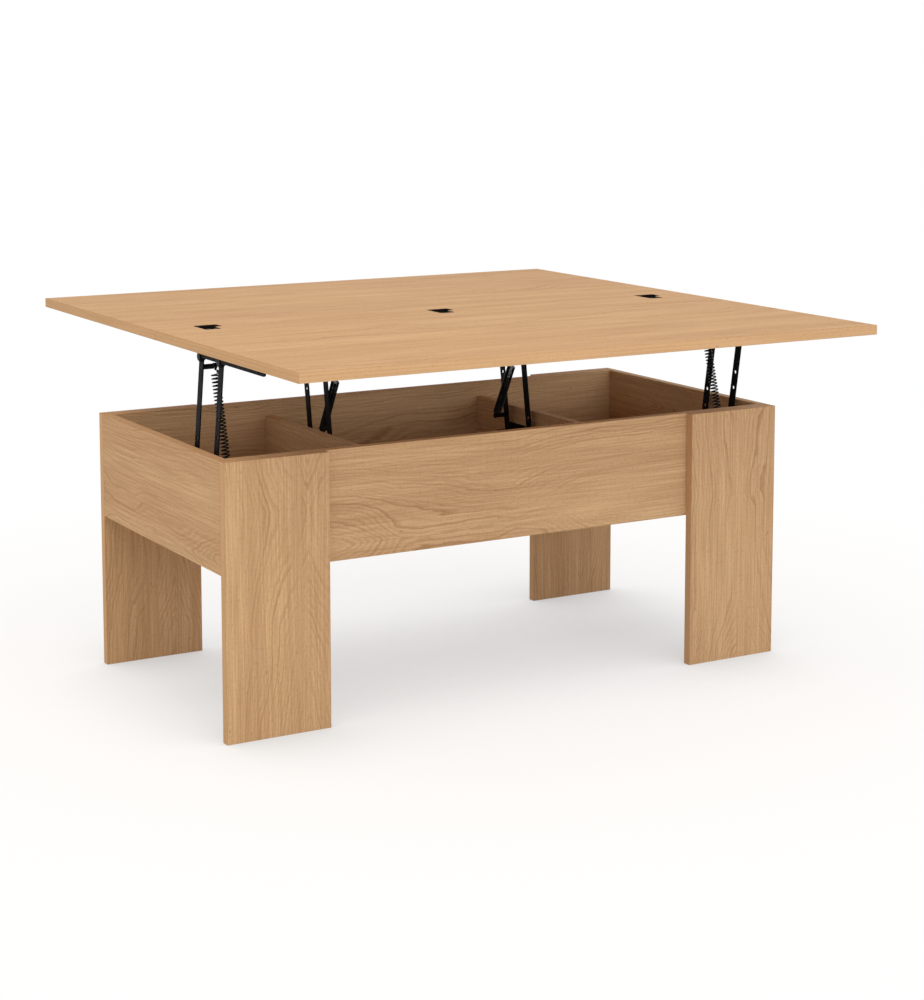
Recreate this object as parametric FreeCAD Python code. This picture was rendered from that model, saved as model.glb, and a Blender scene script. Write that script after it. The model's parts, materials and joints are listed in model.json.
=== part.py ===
"""Lift top coffee table: a box on four board legs, with a top in two leaves.

The front leaf rises and moves forward on a pair of parallel-arm lifts, and the rear leaf
unfolds behind it, over a second pair of sprung lifts that bear against its underside.
Frame: origin on the floor under the middle of the box, +X along the length, -Y to the
front, +Z up. The table is drawn raised and unfolded. Millimetres.
"""

import FreeCAD, Part
import math
import os

V = FreeCAD.Vector

# Box
LENGTH = 1000.0  # over the end panels, and the length of both leaves
DEPTH = 500.0  # over the legs, and the depth of each leaf
HEIGHT = 420.0  # floor to the rim of the box
BOARD = 15.0  # thickness of every board
LEG_WIDTH = 170.0
MIDDLE_WIDTH = 400.0  # clear width of the middle compartment
PARTITION_RISE = 0.537  # partitions' tops, from the base plates on them (0) to the rim (1)
BELOW_PIVOT = 69.0  # lower pivots to the top of the bottom panel

# Top
LIFT = 148.0  # rise of the top
RIM_GAP = 0.4  # lowered leaf above the rim
EDGE_GAP = 0.4  # between the edges of the two leaves
FACE_GAP = 0.3  # between the faces of the folded leaves

# Flush hinges of the fold
HINGE_INSET = 85.0  # end of the leaf to the middle of the outer hinges' knuckles
KNUCKLES_WIDTH = 26.0
FRONT_PLATE_DEPTH = 27.0
REAR_PLATE_DEPTH = 25.0
REAR_PLATE_WIDTH = 39.0
PLATE_THICKNESS = 2.0
PLATE_SUNK = 0.1  # plate below the face of the leaf
KNUCKLE_RADIUS = 2.5
HINGE_PIN_RADIUS = 1.5

# Lift units, with depths counted from the board that the unit is screwed to
LEAN = 9.5  # raised arms past the vertical, in degrees
ARM_SPACING = 72.0  # between the two pivots of a unit
OUTER_PIVOT_Y = -79.5  # lower pivot of the outer units' near arm
INNER_PIVOT_Y = 21.0  # lower pivot of the inner units' near arm
ARM_WIDTH = 15.0
ARM_CLEARANCE = 1.6  # end of an arm below the flange of its top bar
ARM_THICKNESS = 2.0
ARM_DEPTH = 10.0  # board to the back of the arms
PLATE_DEPTH = 3.0  # thickness of the base plate
PLATE_BELOW = 18.0  # base plate below the lower pivots
PLATE_ABOVE = 32.0
PLATE_MARGIN = 15.0  # base plate past the outermost pivot or peg
PLATE_CORNER = 8.0
BAR_DEPTH = 6.4  # board to the back of the top bar
BAR_THICKNESS = 3.0
BAR_LENGTH = 237.0
BAR_TAIL = 7.5  # top bar past the near pivot
BAR_FLANGE = 20.0  # flange under the leaf
BAR_SIDE = 13.0  # height of the upright flange
BAR_HOLE_INSET = 20.0  # spare hole of the upright flange, from its far end
BEARING_GAP = 0.3  # inner units' bars below the leaf

# Pivot pins and pegs
PIN_RADIUS = 4.0
TENON_RADIUS = 3.5
SHOULDER_RADIUS = 6.0
PIN_HEAD_RADIUS = 6.5
PIN_HEAD = 2.5
RUNNING_CLEARANCE = 0.05
SIDE_CLEARANCE = 0.2  # beside an arm on its pin
PEG_RADIUS = 4.0
PEG_TENON_RADIUS = 3.0
PEG_NECK_RADIUS = 2.5
PEG_NECK = 2.8
PEG_HEAD_RADIUS = 5.0
PEG_HEAD = 1.5
STOP_ALONG = 18.0  # stop peg above the far arm's lower pivot, along the arm
STOP_DEPTH = 24.0
STOP_CLEARANCE = 0.3

# Springs
SPRING_DEPTH = 32.0  # board to the axis of the coil
COIL_RADIUS = 7.0  # outside
WIRE_RADIUS = 1.1
OUTER_TURNS = 24.8  # the outer springs are open coils, the inner ones nearly closed
INNER_TURNS = 33.8
BEND_RADIUS = 1.3  # thickening at each bend of the wire
BEND_LENGTH = 3.2
EYE_CLEARANCE = 0.3
UPPER_HOOK = 10.0  # upper peg to the first turn
OUTER_LOWER_HOOK = 22.0  # last turn to the lower peg
INNER_LOWER_HOOK = 7.0
OUTER_PEG_BELOW_TOP = 16.5  # upper peg below the near arm's upper pivot, along the arm
INNER_PEG_BELOW_TOP = 76.0
LOWER_PEG_ALONG = 47.0  # lower peg above the far arm's lower pivot, along the arm
PLUG_LENGTH = 8.0  # of the lower hook, inside the coil

# Fasteners
DOWEL_RADIUS = 4.0
DOWEL_DEPTH = 9.0  # in the board whose face it enters
DOWEL_LENGTH = 30.0
LEG_SCREW_RADIUS = 2.0
LEG_SCREW_LENGTH = 25.0
LEG_SCREW_HEAD_RADIUS = 4.0
LEG_SCREW_RISE = 20.0  # lower screws above the bottom panel
LEG_SCREW_SPACING = 30.0
SCREW_RADIUS = 1.75
SCREW_LENGTH = 12.0
SCREW_HEAD_RADIUS = 3.5
SCREW_HEAD = 2.2
HOLE_RADIUS = 2.8  # spare holes of the arms

# Worked out: the travel takes the top from the middle of the box to half a depth forward
half_length = LENGTH / 2
half_depth = DEPTH / 2
shift = DEPTH / 2
lean = math.radians(LEAN)
swing = 2 * (lean + math.atan2(LIFT, shift))
arm_length = math.hypot(shift, LIFT) / (2 * math.sin(swing / 2))
underside = HEIGHT + RIM_GAP + LIFT
surface = underside + BOARD
fold_z = surface + FACE_GAP / 2
arm_radius = ARM_WIDTH / 2
upper_pivot_z = underside - BAR_THICKNESS - ARM_CLEARANCE - arm_radius
lower_pivot_z = upper_pivot_z - arm_length * math.cos(lean)
rail_height = round(HEIGHT - lower_pivot_z + BELOW_PIVOT + BOARD)
box_bottom = HEIGHT - rail_height
end_face = half_length - BOARD
rail_inner = half_depth - 2 * BOARD
rail_outer = half_depth - BOARD
partition_face = MIDDLE_WIDTH / 2
plate_bottom = lower_pivot_z - PLATE_BELOW
plate_top = lower_pivot_z + PLATE_ABOVE
partition_top = plate_top + PARTITION_RISE * (HEIGHT - plate_top)
arm_front = ARM_DEPTH + ARM_THICKNESS
coil_mean = COIL_RADIUS - WIRE_RADIUS
eye_radius = PEG_NECK_RADIUS + EYE_CLEARANCE + WIRE_RADIUS


class Unit:
    """One lift: out is the way it faces, tilt the way its raised arms lean along Y."""

    def __init__(self, name, face, out, tilt, pivot_y, peg_below_top, lower_hook, turns, gap):
        self.name = name
        self.face = face
        self.out = out
        self.tilt = tilt
        self.lower_hook = lower_hook
        self.turns = turns
        self.bar_top = underside - gap
        self.along = V(0, tilt * math.sin(lean), math.cos(lean))
        self.near_low = V(0, pivot_y, lower_pivot_z)
        self.far_low = self.near_low + V(0, tilt * ARM_SPACING, 0)
        self.near_top = self.near_low + self.along * arm_length
        self.far_top = self.far_low + self.along * arm_length
        self.upper_peg = self.near_low + self.along * (arm_length - peg_below_top)
        self.lower_peg = self.far_low + self.along * LOWER_PEG_ALONG
        across = V(0, tilt * math.cos(lean), -math.sin(lean))
        reach = arm_radius + PEG_RADIUS + STOP_CLEARANCE
        self.stop = self.far_low + self.along * STOP_ALONG + across * reach

    def x(self, depth):
        """The X of a depth counted from the board."""
        return self.face + self.out * depth

    def slab(self, outline, start, end):
        """A flat piece with an outline in the YZ plane, between two depths."""
        solid = outline.extrude(V(self.out * (end - start), 0, 0))
        solid.translate(V(self.x(start), 0, 0))
        return solid

    def turned(self, centre, steps):
        """A round piece along X at a point, from (start depth, end depth, radius) steps."""
        pieces = []
        for start, end, radius in steps:
            base = V(self.x(start), centre.y, centre.z)
            pieces.append(Part.makeCylinder(radius, end - start, base, V(self.out, 0, 0)))
        return fused(pieces)

    def hole(self, centre, start, end, radius):
        """A cutter for a round hole, reaching a little past both depths."""
        return self.turned(centre, [(start - 1, end + 1, radius)])


outer = (OUTER_PIVOT_Y, OUTER_PEG_BELOW_TOP, OUTER_LOWER_HOOK, OUTER_TURNS, 0.0)
inner = (INNER_PIVOT_Y, INNER_PEG_BELOW_TOP, INNER_LOWER_HOOK, INNER_TURNS, BEARING_GAP)
UNITS = [
    Unit("outer_left", -end_face, 1, -1, *outer),
    Unit("inner_left", -partition_face, 1, 1, *inner),
    Unit("inner_right", partition_face, -1, 1, *inner),
    Unit("outer_right", end_face, -1, -1, *outer),
]
OUTER_UNITS = [unit for unit in UNITS if unit.name.startswith("outer")]


def block(x0, x1, y0, y1, z0, z1):
    """A box between two values on each axis."""
    corner = V(min(x0, x1), min(y0, y1), min(z0, z1))
    return Part.makeBox(abs(x1 - x0), abs(y1 - y0), abs(z1 - z0), corner)


def fused(pieces):
    """One solid made of touching pieces."""
    whole = pieces[0]
    if len(pieces) > 1:
        whole = pieces[0].fuse(pieces[1:])
    return whole.removeSplitter()


def cut(solid, cutters):
    """A solid less its cutters, when there are any."""
    return solid.cut(Part.makeCompound(cutters)) if cutters else solid


def save(node, shapes):
    """Writes one node, as a single solid or as a group of separate solids."""
    shape = shapes[0] if len(shapes) == 1 else Part.makeCompound(shapes)
    shape.exportStep(f"parts/{node}.step")


def polygon(points):
    """A flat face with straight edges."""
    return Part.Face(Part.makePolygon(points + points[:1]))


def stadium(start, end, radius):
    """The outline of a flat bar whose round ends are centred on two points of the YZ plane."""
    along = (end - start).normalize() * radius
    side = V(0, -along.z, along.y)
    edges = [
        Part.LineSegment(start + side, end + side),
        Part.Arc(end + side, end + along, end - side),
        Part.LineSegment(end - side, start - side),
        Part.Arc(start - side, start - along, start + side),
    ]
    return Part.Face(Part.Wire([edge.toShape() for edge in edges]))


def countersunk(head, direction, radius, length, head_radius, head_height):
    """A countersunk screw from the middle of its flat head, along a direction."""
    cone = Part.makeCone(head_radius, radius, head_height, head, direction)
    shank = Part.makeCylinder(radius, length - radius, head, direction)
    tip_base = head + direction * (length - radius)
    tip = Part.makeCone(radius, radius * 0.2, radius, tip_base, direction)
    return fused([shank, cone, tip])


# Where the fasteners stand
def dowel(at, direction):
    """A dowel that enters a board's face at a point, and reaches back into the edge behind."""
    start = at - direction * (DOWEL_LENGTH - DOWEL_DEPTH)
    return Part.makeCylinder(DOWEL_RADIUS, DOWEL_LENGTH, start, direction)


def spread(low, high, count, inset):
    """Evenly spaced values between two ends, the outer ones an inset from them."""
    step = (high - low - 2 * inset) / (count - 1)
    return [low + inset + step * index for index in range(count)]


def box_dowels():
    """Rails and bottom panel into the end panels, partitions and bottom into the rails."""
    dowels = []
    rail_heights = spread(box_bottom + BOARD, HEIGHT, 3, 30.0)
    for side in (-1, 1):
        for face in (-1, 1):
            rail_middle = face * (rail_inner + BOARD / 2)
            for z in rail_heights:
                dowels.append(dowel(V(side * end_face, rail_middle, z), V(side, 0, 0)))
            middle_x = side * (partition_face + BOARD / 2)
            for z in spread(box_bottom + BOARD, partition_top, 2, 25.0):
                dowels.append(dowel(V(middle_x, face * rail_inner, z), V(0, face, 0)))
        for y in spread(-rail_inner, rail_inner, 4, 50.0):
            dowels.append(dowel(V(side * end_face, y, box_bottom + BOARD / 2), V(side, 0, 0)))
    for face in (-1, 1):
        for x in spread(-end_face, end_face, 6, 120.0):
            dowels.append(dowel(V(x, face * rail_inner, box_bottom + BOARD / 2), V(0, face, 0)))
    return dowels


def leg_screws():
    """Four screws through the rail into each leg, from inside the box."""
    low_row = box_bottom + BOARD + LEG_SCREW_RISE
    screws = []
    for side in (-1, 1):
        for face in (-1, 1):
            for x in spread(half_length - LEG_WIDTH, end_face, 2, 40.0):
                for z in (low_row, low_row + LEG_SCREW_SPACING):
                    head = V(side * x, face * rail_inner, z)
                    screws.append(
                        countersunk(
                            head, V(0, face, 0), LEG_SCREW_RADIUS, LEG_SCREW_LENGTH,
                            LEG_SCREW_HEAD_RADIUS, LEG_SCREW_HEAD_RADIUS - LEG_SCREW_RADIUS,
                        )
                    )
    return screws


def plate_span(unit):
    """The two ends of a base plate along Y, lower value first."""
    ends = [
        unit.near_low.y - unit.tilt * PLATE_MARGIN,
        unit.stop.y + unit.tilt * (PEG_RADIUS + PLATE_MARGIN / 2),
    ]
    return sorted(ends)


def plate_screws(unit):
    """Four screws near the corners of a base plate."""
    y0, y1 = plate_span(unit)
    screws = []
    for y in (y0 + PLATE_CORNER, y1 - PLATE_CORNER):
        for z in (plate_bottom + PLATE_CORNER, plate_top - PLATE_CORNER):
            head = V(unit.x(PLATE_DEPTH), y, z)
            screws.append(
                countersunk(
                    head, V(-unit.out, 0, 0), SCREW_RADIUS, SCREW_LENGTH,
                    SCREW_HEAD_RADIUS, SCREW_HEAD,
                )
            )
    return screws


def bar_screws(unit):
    """Four domed screws through a top bar's flange into the leaf."""
    start = unit.near_top.y - unit.tilt * BAR_TAIL
    screws = []
    for along in spread(0.0, BAR_LENGTH, 4, 20.0):
        y = start + unit.tilt * along
        base = V(unit.x(BAR_DEPTH + BAR_FLANGE * 0.6), y, unit.bar_top - BAR_THICKNESS - SCREW_HEAD)
        head = Part.makeCone(SCREW_HEAD_RADIUS * 0.6, SCREW_HEAD_RADIUS, SCREW_HEAD, base)
        shank = Part.makeCylinder(SCREW_RADIUS, SCREW_HEAD + BAR_THICKNESS + SCREW_LENGTH * 0.75, base)
        screws.append(fused([head, shank]))
    return screws


# Hinges of the fold
hinge_middles = [-half_length + HINGE_INSET, 0.0, half_length - HINGE_INSET]


def fold_cylinder(x0, x1, radius):
    """A cylinder about the axis of the fold."""
    return Part.makeCylinder(radius, x1 - x0, V(x0, 0, fold_z), V(1, 0, 0))


def knuckle_spans(middle):
    """(start, end, in front) of a hinge's three knuckles."""
    third = KNUCKLES_WIDTH / 3
    start = middle - KNUCKLES_WIDTH / 2
    return [
        (start, start + third - SIDE_CLEARANCE, True),
        (start + third, start + 2 * third, False),
        (start + 2 * third + SIDE_CLEARANCE, start + KNUCKLES_WIDTH, True),
    ]


def plate_blank(middle, face, clearance):
    """The flat of a hinge plate: face is -1 in front of the fold and 1 behind it."""
    start = middle - KNUCKLES_WIDTH / 2 - clearance
    width = KNUCKLES_WIDTH if face < 0 else REAR_PLATE_WIDTH
    reach = FRONT_PLATE_DEPTH if face < 0 else REAR_PLATE_DEPTH
    top = surface - PLATE_SUNK
    blank = block(
        start, start + width + 2 * clearance, face * EDGE_GAP / 2, face * (reach + clearance),
        top - PLATE_THICKNESS, top,
    )
    corners = []
    for edge in blank.Edges:
        ends = [vertex.Point for vertex in edge.Vertexes]
        upright = abs(ends[0].z - ends[1].z) > PLATE_THICKNESS / 2
        if upright and abs(ends[0].y) > reach / 2:
            corners.append(edge)
    return blank.makeFillet(3.0 + clearance, corners)


def hinge_screw_places(middle, face):
    """The screws of one hinge plate."""
    start = middle - KNUCKLES_WIDTH / 2
    width = KNUCKLES_WIDTH if face < 0 else REAR_PLATE_WIDTH
    reach = FRONT_PLATE_DEPTH if face < 0 else REAR_PLATE_DEPTH
    return [V(x, face * (reach - 8.0), surface - PLATE_SUNK) for x in spread(start, start + width, 2, 7.0)]


def hinge_screws(face):
    """The screws of the three plates on one leaf, flush with the plates."""
    screws = []
    for middle in hinge_middles:
        for head in hinge_screw_places(middle, face):
            screws.append(
                countersunk(
                    head, V(0, 0, -1), SCREW_RADIUS - 0.25, SCREW_LENGTH,
                    SCREW_HEAD_RADIUS - 0.5, PLATE_THICKNESS,
                )
            )
    return screws


def hinge_plates(face):
    """The three plates on one leaf, each with its knuckles."""
    plates = []
    for middle in hinge_middles:
        own, other = [], []
        for x0, x1, in_front in knuckle_spans(middle):
            if in_front == (face < 0):
                own.append(fold_cylinder(x0, x1, KNUCKLE_RADIUS))
            else:
                other.append(
                    fold_cylinder(x0 - SIDE_CLEARANCE, x1 + SIDE_CLEARANCE, KNUCKLE_RADIUS + FACE_GAP)
                )
        plate = cut(plate_blank(middle, face, 0.0), other)
        clearance = 0.0 if face < 0 else RUNNING_CLEARANCE
        bore = fold_cylinder(
            middle - KNUCKLES_WIDTH, middle + KNUCKLES_WIDTH, HINGE_PIN_RADIUS + clearance
        )
        plates.append(fused([plate] + own).cut(bore))
    return [cut(plate, hinge_screws(face)) for plate in plates]


def hinge_pins():
    """A pin through the knuckles of each hinge."""
    half_width = KNUCKLES_WIDTH / 2
    return [fold_cylinder(m - half_width, m + half_width, HINGE_PIN_RADIUS) for m in hinge_middles]


def leaf(face):
    """One leaf, recessed for its hinges, and drilled for the screws of hinges and top bars."""
    board = block(
        -half_length, half_length, face * EDGE_GAP / 2, face * DEPTH, underside, surface
    )
    cutters = []
    for middle in hinge_middles:
        recess = plate_blank(middle, face, RUNNING_CLEARANCE)
        above = plate_blank(middle, face, RUNNING_CLEARANCE)
        above.translate(V(0, 0, PLATE_THICKNESS))
        half_width = KNUCKLES_WIDTH / 2 + SIDE_CLEARANCE
        groove = fold_cylinder(middle - half_width, middle + half_width, KNUCKLE_RADIUS + FACE_GAP)
        cutters += [recess, above, groove]
    cutters += hinge_screws(face)
    if face < 0:
        for unit in OUTER_UNITS:
            cutters += bar_screws(unit)
    return cut(board, cutters)


# Parts of a lift unit
def pin_steps(seat_start, seat_end):
    """Steps of a pivot pin riveted through a plate between two depths."""
    shoulder_end = ARM_DEPTH - SIDE_CLEARANCE
    head_start = arm_front + SIDE_CLEARANCE
    return [
        (seat_start, seat_end, TENON_RADIUS),
        (seat_end, shoulder_end, SHOULDER_RADIUS),
        (shoulder_end, head_start, PIN_RADIUS),
        (head_start, head_start + PIN_HEAD, PIN_HEAD_RADIUS),
    ]


def lower_pins(unit):
    """Two pins riveted in the base plate."""
    steps = pin_steps(0.0, PLATE_DEPTH)
    return [unit.turned(centre, steps) for centre in (unit.near_low, unit.far_low)]


def upper_pins(unit):
    """Two pins riveted in the top bar, with a thin head behind it."""
    steps = pin_steps(BAR_DEPTH, BAR_DEPTH + BAR_THICKNESS)
    steps.append((BAR_DEPTH - BAR_THICKNESS / 2, BAR_DEPTH, SHOULDER_RADIUS))
    return [unit.turned(centre, steps) for centre in (unit.near_top, unit.far_top)]


def base_plate(unit):
    """The plate on the board, drilled for its pins, stop peg and screws."""
    y0, y1 = plate_span(unit)
    outline = polygon(
        [V(0, y0, plate_bottom), V(0, y1, plate_bottom), V(0, y1, plate_top), V(0, y0, plate_top)]
    )
    blank = unit.slab(outline, 0.0, PLATE_DEPTH)
    corners = [edge for edge in blank.Edges if abs(edge.BoundBox.XLength - PLATE_DEPTH) < 0.01]
    plate = blank.makeFillet(PLATE_CORNER / 2, corners)
    cutters = [
        unit.hole(unit.near_low, 0.0, PLATE_DEPTH, TENON_RADIUS),
        unit.hole(unit.far_low, 0.0, PLATE_DEPTH, TENON_RADIUS),
        unit.hole(unit.stop, 0.0, PLATE_DEPTH, PEG_TENON_RADIUS),
    ]
    return cut(plate, cutters + plate_screws(unit))


def arm(unit, low, top, peg, spare):
    """A flat arm with its pivot holes, its spring peg's hole and its spare holes."""
    blank = unit.slab(stadium(low, top, arm_radius), ARM_DEPTH, arm_front)
    cutters = [
        unit.hole(low, ARM_DEPTH, arm_front, PIN_RADIUS + RUNNING_CLEARANCE),
        unit.hole(top, ARM_DEPTH, arm_front, PIN_RADIUS + RUNNING_CLEARANCE),
        unit.hole(peg, ARM_DEPTH, arm_front, PEG_TENON_RADIUS),
    ]
    for along in spare:
        cutters.append(unit.hole(low + unit.along * along, ARM_DEPTH, arm_front, HOLE_RADIUS))
    return cut(blank, cutters)


def top_bar(unit):
    """The angle bar on the upper pivots: a flange under the leaf, and a side with two lugs."""
    y0 = unit.near_top.y - unit.tilt * BAR_TAIL
    y1 = y0 + unit.tilt * BAR_LENGTH
    top = unit.bar_top
    back = unit.x(BAR_DEPTH)
    side = block(back, unit.x(BAR_DEPTH + BAR_THICKNESS), y0, y1, top - BAR_SIDE, top)
    low_end = V(0, y1, top - BAR_SIDE)
    end_edges = []
    for edge in side.Edges:
        centre = edge.CenterOfMass
        if V(0, centre.y, centre.z).distanceToPoint(low_end) < 0.01:
            end_edges.append(edge)
    side = side.makeFillet(BAR_SIDE * 0.4, end_edges)
    flange = block(back, unit.x(BAR_DEPTH + BAR_FLANGE), y0, y1, top - BAR_THICKNESS, top)
    corners = []
    for edge in flange.Edges:
        upright = edge.BoundBox.ZLength > BAR_THICKNESS / 2
        if upright and abs(edge.CenterOfMass.x - unit.x(BAR_DEPTH + BAR_FLANGE)) < 0.01:
            corners.append(edge)
    pieces = [side, flange.makeFillet(BAR_FLANGE * 0.4, corners)]
    for pivot in (unit.near_top, unit.far_top):
        lug = stadium(pivot, V(0, pivot.y, top - arm_radius), arm_radius)
        pieces.append(unit.slab(lug, BAR_DEPTH, BAR_DEPTH + BAR_THICKNESS))
    bar = fused(pieces)
    spare = V(0, y1 - unit.tilt * BAR_HOLE_INSET, top - BAR_THICKNESS - HOLE_RADIUS - BAR_THICKNESS / 2)
    cutters = [unit.hole(spare, BAR_DEPTH, BAR_DEPTH + BAR_THICKNESS, HOLE_RADIUS)]
    for pivot in (unit.near_top, unit.far_top):
        cutters.append(unit.hole(pivot, BAR_DEPTH, BAR_DEPTH + BAR_THICKNESS, TENON_RADIUS))
    if unit in OUTER_UNITS:
        cutters += bar_screws(unit)
    return cut(bar, cutters)


def spring_peg(unit, centre):
    """A peg riveted in an arm, with a neck for the eye of the spring."""
    neck_start = SPRING_DEPTH - PEG_NECK / 2
    neck_end = SPRING_DEPTH + PEG_NECK / 2
    steps = [
        (ARM_DEPTH, arm_front, PEG_TENON_RADIUS),
        (arm_front, neck_start, PEG_RADIUS),
        (neck_start, neck_end, PEG_NECK_RADIUS),
        (neck_end, neck_end + PEG_HEAD, PEG_HEAD_RADIUS),
    ]
    return unit.turned(centre, steps)


def stop_peg(unit):
    """The peg that the raised far arm comes to rest against."""
    steps = [(0.0, PLATE_DEPTH, PEG_TENON_RADIUS), (PLATE_DEPTH, STOP_DEPTH, PEG_RADIUS)]
    return unit.turned(unit.stop, steps)


def along_spring(unit, solid):
    """Moves a piece drawn from the upper peg up +Z onto the line between the pegs."""
    line = unit.lower_peg - unit.upper_peg
    turn = FreeCAD.Rotation(V(0, 0, 1), line)
    start = V(unit.x(SPRING_DEPTH), unit.upper_peg.y, unit.upper_peg.z)
    solid.Placement = FreeCAD.Placement(start, turn)
    return solid


def rod(start, end):
    """A round length of spring wire."""
    return Part.makeCylinder(WIRE_RADIUS, (end - start).Length, start, end - start)


def spring(unit):
    """The coil with its upper eye."""
    length = (unit.lower_peg - unit.upper_peg).Length - UPPER_HOOK - unit.lower_hook
    pitch = length / unit.turns
    start = V(coil_mean, 0, UPPER_HOOK)
    helix = Part.makeHelix(pitch, length, coil_mean)
    helix.translate(V(0, 0, UPPER_HOOK))
    rise = pitch / (2 * math.pi)
    section = Part.Wire([Part.makeCircle(WIRE_RADIUS, start, V(0, coil_mean, rise))])
    coil = Part.Wire(helix.Edges).makePipeShell([section], True, True)
    bend = V(0, 0, UPPER_HOOK)
    tangent = V(0, coil_mean, rise).normalize()
    hook = [
        Part.makeCylinder(BEND_RADIUS, BEND_LENGTH, start - tangent * (BEND_LENGTH / 2), tangent),
        rod(start, bend),
        Part.makeSphere(BEND_RADIUS, bend),
        rod(bend, V(0, 0, eye_radius)),
        Part.makeTorus(eye_radius, WIRE_RADIUS, V(0, 0, 0), V(1, 0, 0)),
    ]
    return along_spring(unit, fused([coil, fused(hook)]))


def spring_hook(unit):
    """The lower hook: a plug in the last turns, a straight wire and an eye."""
    length = (unit.lower_peg - unit.upper_peg).Length
    coil_end = length - unit.lower_hook
    plug_start = V(0, 0, coil_end - PLUG_LENGTH)
    plug_radius = COIL_RADIUS - 2 * WIRE_RADIUS - EYE_CLEARANCE
    pieces = [
        Part.makeCylinder(plug_radius, PLUG_LENGTH, plug_start),
        rod(V(0, 0, coil_end), V(0, 0, length - eye_radius)),
        Part.makeTorus(eye_radius, WIRE_RADIUS, V(0, 0, length), V(1, 0, 0)),
    ]
    return along_spring(unit, fused(pieces))


def box_boards():
    """The boards of the box by name, drilled for their dowels and screws."""
    boards = {}
    for side, side_name in ((-1, "left"), (1, "right")):
        boards[f"{side_name}_end_panel"] = block(
            side * end_face, side * half_length, -rail_outer, rail_outer, box_bottom, HEIGHT
        )
        boards[f"{side_name}_partition"] = block(
            side * partition_face, side * (partition_face + BOARD), -rail_inner, rail_inner,
            box_bottom + BOARD, partition_top,
        )
        for face, face_name in ((-1, "front"), (1, "back")):
            boards[f"{face_name}_{side_name}_leg"] = block(
                side * (half_length - LEG_WIDTH), side * half_length,
                face * rail_outer, face * half_depth, 0.0, HEIGHT,
            )
    for face, face_name in ((-1, "front"), (1, "back")):
        boards[f"{face_name}_rail"] = block(
            -end_face, end_face, face * rail_inner, face * rail_outer, box_bottom, HEIGHT
        )
    boards["bottom_panel"] = block(
        -end_face, end_face, -rail_inner, rail_inner, box_bottom, box_bottom + BOARD
    )
    fasteners = box_dowels() + leg_screws()
    for unit in UNITS:
        fasteners += plate_screws(unit)
    drilled = {}
    for name, board in boards.items():
        near = [item for item in fasteners if item.BoundBox.intersect(board.BoundBox)]
        drilled[name] = cut(board, near)
    return drilled


# Spare holes, measured along each arm from its lower pivot
OUTER_NEAR_HOLES = (67.4, 97.3)
OUTER_FAR_HOLES = (109.5, 136.9)
INNER_NEAR_HOLES = (51.7,)
INNER_FAR_HOLES = (121.7,)

os.makedirs("parts", exist_ok=True)

for name, board in box_boards().items():
    save(name, [board])
save("dowels", box_dowels())
save("leg_screws", leg_screws())

save("front_leaf", [leaf(-1)])
save("rear_leaf", [leaf(1)])
save("front_hinge_plates", hinge_plates(-1))
save("rear_hinge_plates", hinge_plates(1))
save("front_hinge_screws", hinge_screws(-1))
save("rear_hinge_screws", hinge_screws(1))
save("hinge_pins", hinge_pins())

save("base_plate_screws", [screw for unit in UNITS for screw in plate_screws(unit)])
save("lower_pivot_pins", [pin for unit in UNITS for pin in lower_pins(unit)])
save("stop_pegs", [stop_peg(unit) for unit in UNITS])
save("bar_screws", [screw for unit in OUTER_UNITS for screw in bar_screws(unit)])
save("outer_upper_pins", [pin for unit in OUTER_UNITS for pin in upper_pins(unit)])

for unit in UNITS:
    is_outer = unit in OUTER_UNITS
    near_holes = OUTER_NEAR_HOLES if is_outer else INNER_NEAR_HOLES
    far_holes = OUTER_FAR_HOLES if is_outer else INNER_FAR_HOLES
    save(f"{unit.name}_base_plate", [base_plate(unit)])
    save(f"{unit.name}_near_arm", [arm(unit, unit.near_low, unit.near_top, unit.upper_peg, near_holes)])
    save(f"{unit.name}_far_arm", [arm(unit, unit.far_low, unit.far_top, unit.lower_peg, far_holes)])
    save(f"{unit.name}_bar", [top_bar(unit)])
    save(f"{unit.name}_upper_peg", [spring_peg(unit, unit.upper_peg)])
    save(f"{unit.name}_lower_peg", [spring_peg(unit, unit.lower_peg)])
    save(f"{unit.name}_spring", [spring(unit)])
    save(f"{unit.name}_spring_hook", [spring_hook(unit)])
    if not is_outer:
        save(f"{unit.name}_upper_pins", upper_pins(unit))
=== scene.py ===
"""Looks of a lift top coffee table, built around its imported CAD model.

The boards are particle board faced with a printed oak decor. The lifts are pressed steel with a
black coat, and their springs are black oiled wire. Metres, in the frame of the CAD model.
"""

import json
import math

import bmesh
import bpy
from mathutils import Matrix, Vector

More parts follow.
